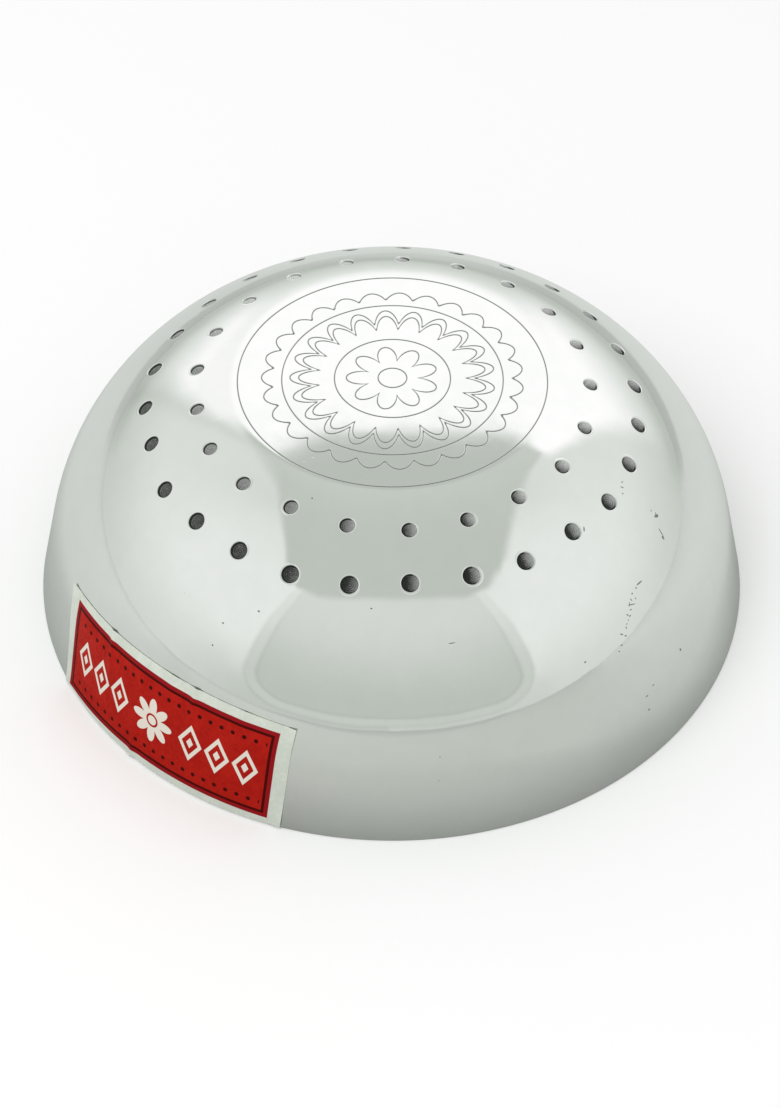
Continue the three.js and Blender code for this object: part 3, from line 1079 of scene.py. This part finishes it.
def tent_light(direction):
    """Brightness of the light tent in each direction, as seen in the polished metal.

    Pale side walls, an open white back, a darker roof panel that narrows towards the back, and the darker
    opening at the front with a pale frame, all with soft edges.
    """
    x, y, z = direction.T
    elevation = np.degrees(np.arcsin(np.clip(z, -1, 1)))
    azimuth = np.degrees(np.arctan2(x, y))
    front = 180 - np.abs(azimuth)
    overhead = np.maximum(z, 0.02)
    roof_x = x / overhead
    roof_y = y / overhead
    edge = back_edge(roof_x)
    level = side_walls(azimuth, elevation, front)
    soft = back_softness(roof_x)
    dip = np.exp(-(((edge - roof_y - soft) / (0.4 * soft + 0.045)) ** 2))
    level = level - 0.06 * dip * smooth_step(0, -0.2, roof_x)
    half = np.where(azimuth < 0, *OPENING_HALVES)
    aside = np.maximum(1 - (half - front) / OPENING_ROUND, 0)
    low = np.maximum(1 - (elevation - OPENING_FOOT) / OPENING_ROUND, 0)
    inset = OPENING_ROUND * (1 - np.hypot(aside, low))
    in_front = smooth_step(-0.55, -0.61, roof_y)
    opening = 0.555 + 0.165 * smooth_step(8, 48, elevation)
    level = level - 0.05 * smooth_step(54, 44, front) * smooth_step(14, 5, elevation)
    level = toward(level, 0.52, smooth_step(-0.1, -1.0, elevation) * smooth_step(42, 30, front))
    level = toward(level, opening + 0.07, smooth_step(*FRAME_BAND, inset) * in_front)
    level = toward(level, opening, smooth_step(-0.5, 0.5, inset) * in_front)
    lines = np.exp(-((inset / LINE_WIDTH) ** 2)) + np.exp(-(((inset + FRAME_LINE) / LINE_WIDTH) ** 2))
    level = level - 0.07 * lines * in_front * smooth_step(46, 34, elevation)
    roof_left = np.clip(0.46 - 0.27 * roof_y, 0.24, 0.56)
    left_soft = 0.02 + 0.06 * smooth_step(0.2, 0.7, roof_y)
    roof_right = np.clip(0.53 - 0.2 * roof_y, 0.43, 0.58)
    roof_foot = -0.63 + 0.08 * smooth_step(0.42, 0.56, np.abs(roof_x))
    roof = smooth_step(-1, 1, (roof_x + roof_left) / left_soft)
    roof = roof * smooth_step(-0.04, 0.04, roof_right - roof_x)
    roof = roof * smooth_step(-0.05, 0.05, roof_y - roof_foot)
    roof_level = 0.565 + 0.05 * smooth_step(-0.2, 0.8, roof_y) - 0.08 * smooth_step(0.85, 1.02, roof_y)
    roof_level = roof_level - 0.04 * smooth_step(-0.1, -0.35, roof_x) * smooth_step(0.2, 0.6, roof_y)
    level = toward(level, roof_level, roof)
    reach = np.where(elevation < 20, 16, 10)
    behind = np.exp(-(((elevation - 20) / reach) ** 2)) * smooth_step(20, 10, np.abs(azimuth))
    white = (0.68 + 0.41 * smooth_step(0, 28, elevation)) * (1 - 0.2 * behind)
    white = white * (1 - 0.07 * smooth_step(-0.12, -0.3, roof_x) * smooth_step(20, 32, elevation))
    level = toward(level, white, smooth_step(-1, 1, (roof_y - edge) / soft))
    seam = 0.01 + 0.18 * smooth_step(66, 50, azimuth) * smooth_step(-58, -42, azimuth)
    level = level * (1 - seam * np.exp(-((np.maximum(elevation, 0) / 5.0) ** 2)))
    grey = np.clip((1.02 - level) / 0.45, 0, 1)[:, None]
    return level[:, None] * (1 + grey * (TENT_TINT - 1) * 2.2)


def make_tent():
    """Light tent: a dome of soft panels that only polished surfaces see."""
    across = np.linspace(0, 2 * math.pi, TENT_COLUMNS + 1)[:-1]
    up = np.radians(np.concatenate([np.linspace(*band) for band in TENT_BANDS]))[:, None]
    direction = np.stack(
        np.broadcast_arrays(np.cos(up) * np.sin(across), np.cos(up) * np.cos(across), np.sin(up)), axis=-1
    )
    number = np.arange(direction[..., 0].size).reshape(direction.shape[:2])
    upper = number[:-1]
    lower = number[1:]
    faces = np.stack([upper, np.roll(upper, -1, 1), np.roll(lower, -1, 1), lower], axis=-1).reshape(-1, 4)
    points = direction.reshape(-1, 3) * TENT_RADIUS / MM
    tent = make_object("light_tent", points, faces.tolist())
    colours = np.concatenate([tent_light(direction.reshape(-1, 3)), np.ones((number.size, 1))], axis=1)
    layer = tent.data.attributes.new("tent_light", "FLOAT_COLOR", "POINT")
    layer.data.foreach_set("color", colours.astype(np.float32).ravel())
    material, nodes = new_material("tent_cloth")
    glow = nodes.add("ShaderNodeAttribute", {"attribute_name": "tent_light"}).outputs["Color"]
    light = nodes.add("ShaderNodeEmission", Color=glow, Strength=1.0)
    output = nodes.add("ShaderNodeOutputMaterial")
    nodes.feed(output.inputs["Surface"], light.outputs[0])
    material.cycles.emission_sampling = "NONE"
    tent.data.materials.append(material)
    tent.visible_camera = False
    tent.visible_diffuse = False
    tent.visible_shadow = False
    tent.visible_transmission = False


def make_floor():
    """Plain pale floor; reflections see painted light and shade by place: painted contact shadow at the rim,
    darker far behind and far in front.
    """
    turn = np.linspace(0, 2 * math.pi, FLOOR_SIDES + 1)[:-1]
    points = np.stack([np.cos(turn), np.sin(turn), np.zeros_like(turn)], axis=1) * FLOOR_RADIUS / MM
    floor = make_object("floor", points, [list(range(len(turn)))])
    material, nodes = new_material("pale_floor")
    rays = nodes.add("ShaderNodeLightPath")
    seen = nodes.math("MAXIMUM", rays.outputs["Is Camera Ray"], rays.outputs["Is Transmission Ray"])
    seen = nodes.fused(rays.outputs["Is Glossy Ray"], FLOOR_GLOSSY_SHARE, seen)
    place = nodes.add("ShaderNodeTexCoord").outputs["Object"]
    x, y, _ = nodes.add("ShaderNodeSeparateXYZ", Vector=place).outputs
    aside = nodes.math("ABSOLUTE", x)
    right = nodes.step(x, -0.05, 0.05)
    near_right = nodes.step(x, 0.04, 0.12, FLOOR_NEAR, FLOOR_NEAR / 5)
    near_left = nodes.step(x, -0.05, -0.16, FLOOR_NEAR, FLOOR_NEAR / 2)
    near = nodes.math("MINIMUM", near_right, near_left)
    # Painted contact shadow: ambient occlusion darkens the floor's colour near the bowl.
    open_sky = nodes.add("ShaderNodeAmbientOcclusion", {"samples": 8}, Distance=near).outputs["AO"]
    # Painted light and shade by place, which reflections show: lighter further back, less so far left, darker
    # in front.
    slanted = nodes.fused(x, 0.1, nodes.fused(aside, 0.45, y))
    far = nodes.step(slanted, -0.14, 0.2)
    painted_floor_light = nodes.blend(far, FLOOR_FRONT, FLOOR_FAR)
    far_left = nodes.times(far, nodes.step(x, 0.0, -0.15, 0.0, 0.5))
    painted_floor_light = nodes.blend(far_left, painted_floor_light, FLOOR_LEFT)
    # Painted shade far behind the bowl.
    depth = nodes.fused(nodes.math("MINIMUM", x, 0.0), -0.2, y)
    behind = nodes.step(nodes.fused(right, 0.1, depth), 0.41, 0.56)
    bearing = nodes.math("DIVIDE", aside, nodes.math("MAXIMUM", y, 0.05))
    behind = nodes.times(behind, nodes.step(bearing, 0.05, 0.36, 0.3, 0.88))
    side_start = nodes.step(right, 0.0, 1.0, 0.9, 1.25)
    side_end = nodes.step(right, 0.0, 1.0, 1.5, 1.9)
    behind = nodes.times(behind, nodes.step(bearing, side_start, side_end, 1.0, 0.0))
    painted_floor_light = nodes.blend(behind, painted_floor_light, FLOOR_BEHIND)
    # Painted shade far in front.
    before = nodes.step(nodes.fused(aside, 0.8, y), -0.55, -0.95, 0.0, 0.85)
    painted_floor_light = nodes.blend(before, painted_floor_light, FLOOR_BEFORE)
    # Painted contact shadow at the foot of the bowl in front.
    close = nodes.step(nodes.hypot(x, y), 0.16, 0.12)
    foot = nodes.times(close, nodes.step(y, -0.04, -0.1, 0.0, 0.35))
    painted_floor_light = nodes.blend(foot, painted_floor_light, FLOOR_FOOT_SHADOW)
    # Painted contact shadow where the floor is occluded.
    grey = nodes.blend(open_sky, FLOOR_SHADE, painted_floor_light)
    tone = nodes.blend(seen, grey, FLOOR_PLAIN)
    nodes.surface(Base_Color=tone, Roughness=FLOOR_ROUGHNESS)
    floor.data.materials.append(material)


def make_world():
    """White backdrop for what the camera and glossy rays see, and an even soft light on everything."""
    world = bpy.data.worlds.new("studio")
    bpy.context.scene.world = world
    world.use_nodes = True
    nodes = Nodes(world.node_tree)
    rays = nodes.add("ShaderNodeLightPath")
    seen = nodes.math("MAXIMUM", rays.outputs["Is Camera Ray"], rays.outputs["Is Glossy Ray"])
    seen = nodes.math("MAXIMUM", seen, rays.outputs["Is Transmission Ray"])
    strength = nodes.step(seen, 0.0, 1.0, WORLD_STRENGTH, 1.0)
    background = nodes.add("ShaderNodeBackground", Color=(1.0, 1.0, 1.0, 1.0), Strength=strength)
    output = nodes.add("ShaderNodeOutputWorld")
    nodes.feed(output.inputs["Surface"], background.outputs[0])


def make_lamp(name, place, size, power):
    """Soft square lamp aimed at the bowl; the tent stands for it in reflections."""
    data = bpy.data.lights.new(name, "AREA")
    data.shape = "SQUARE"
    data.size = size
    data.energy = power
    lamp = bpy.data.objects.new(name, data)
    lamp.location = place
    lamp.rotation_euler = (-Vector(place)).to_track_quat("-Z", "Y").to_euler()
    lamp.visible_glossy = False
    bpy.context.scene.collection.objects.link(lamp)


def make_camera():
    """Camera at the photograph's angle, with the small roll that the picture shows."""
    data = bpy.data.cameras.new("camera")
    data.sensor_fit = "AUTO"
    data.sensor_width = SENSOR
    data.lens = FOCAL_PIXELS / max(IMAGE_WIDTH, IMAGE_HEIGHT) * SENSOR
    camera = bpy.data.objects.new("camera", data)
    back = Vector((0.0, -math.cos(CAMERA_ELEVATION), math.sin(CAMERA_ELEVATION)))
    level_right = Vector((1.0, 0.0, 0.0))
    level_up = back.cross(level_right)
    right = level_right * math.cos(CAMERA_ROLL) + level_up * math.sin(CAMERA_ROLL)
    up = level_up * math.cos(CAMERA_ROLL) - level_right * math.sin(CAMERA_ROLL)
    place = (Vector(CAMERA_TARGET) + back * CAMERA_DISTANCE) * MM
    turned = Matrix((right, up, back)).transposed().to_4x4()
    camera.matrix_world = Matrix.Translation(place) @ turned
    bpy.context.scene.collection.objects.link(camera)
    bpy.context.scene.camera = camera


def dress(piece, material, node):
    """Gives a piece its material and ties it to the frame in place of its CAD node."""
    piece.data.materials.append(material)
    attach(piece, "root")
    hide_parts(node)


bpy.context.scene.view_settings.view_transform = "Standard"
make_camera()
make_world()
make_tent()
make_floor()
make_lamp("key", KEY_PLACE, KEY_SIZE, KEY_POWER)
dress(make_bowl(), aluminium(), "bowl")
dress(make_label(), label_paper(), "label")
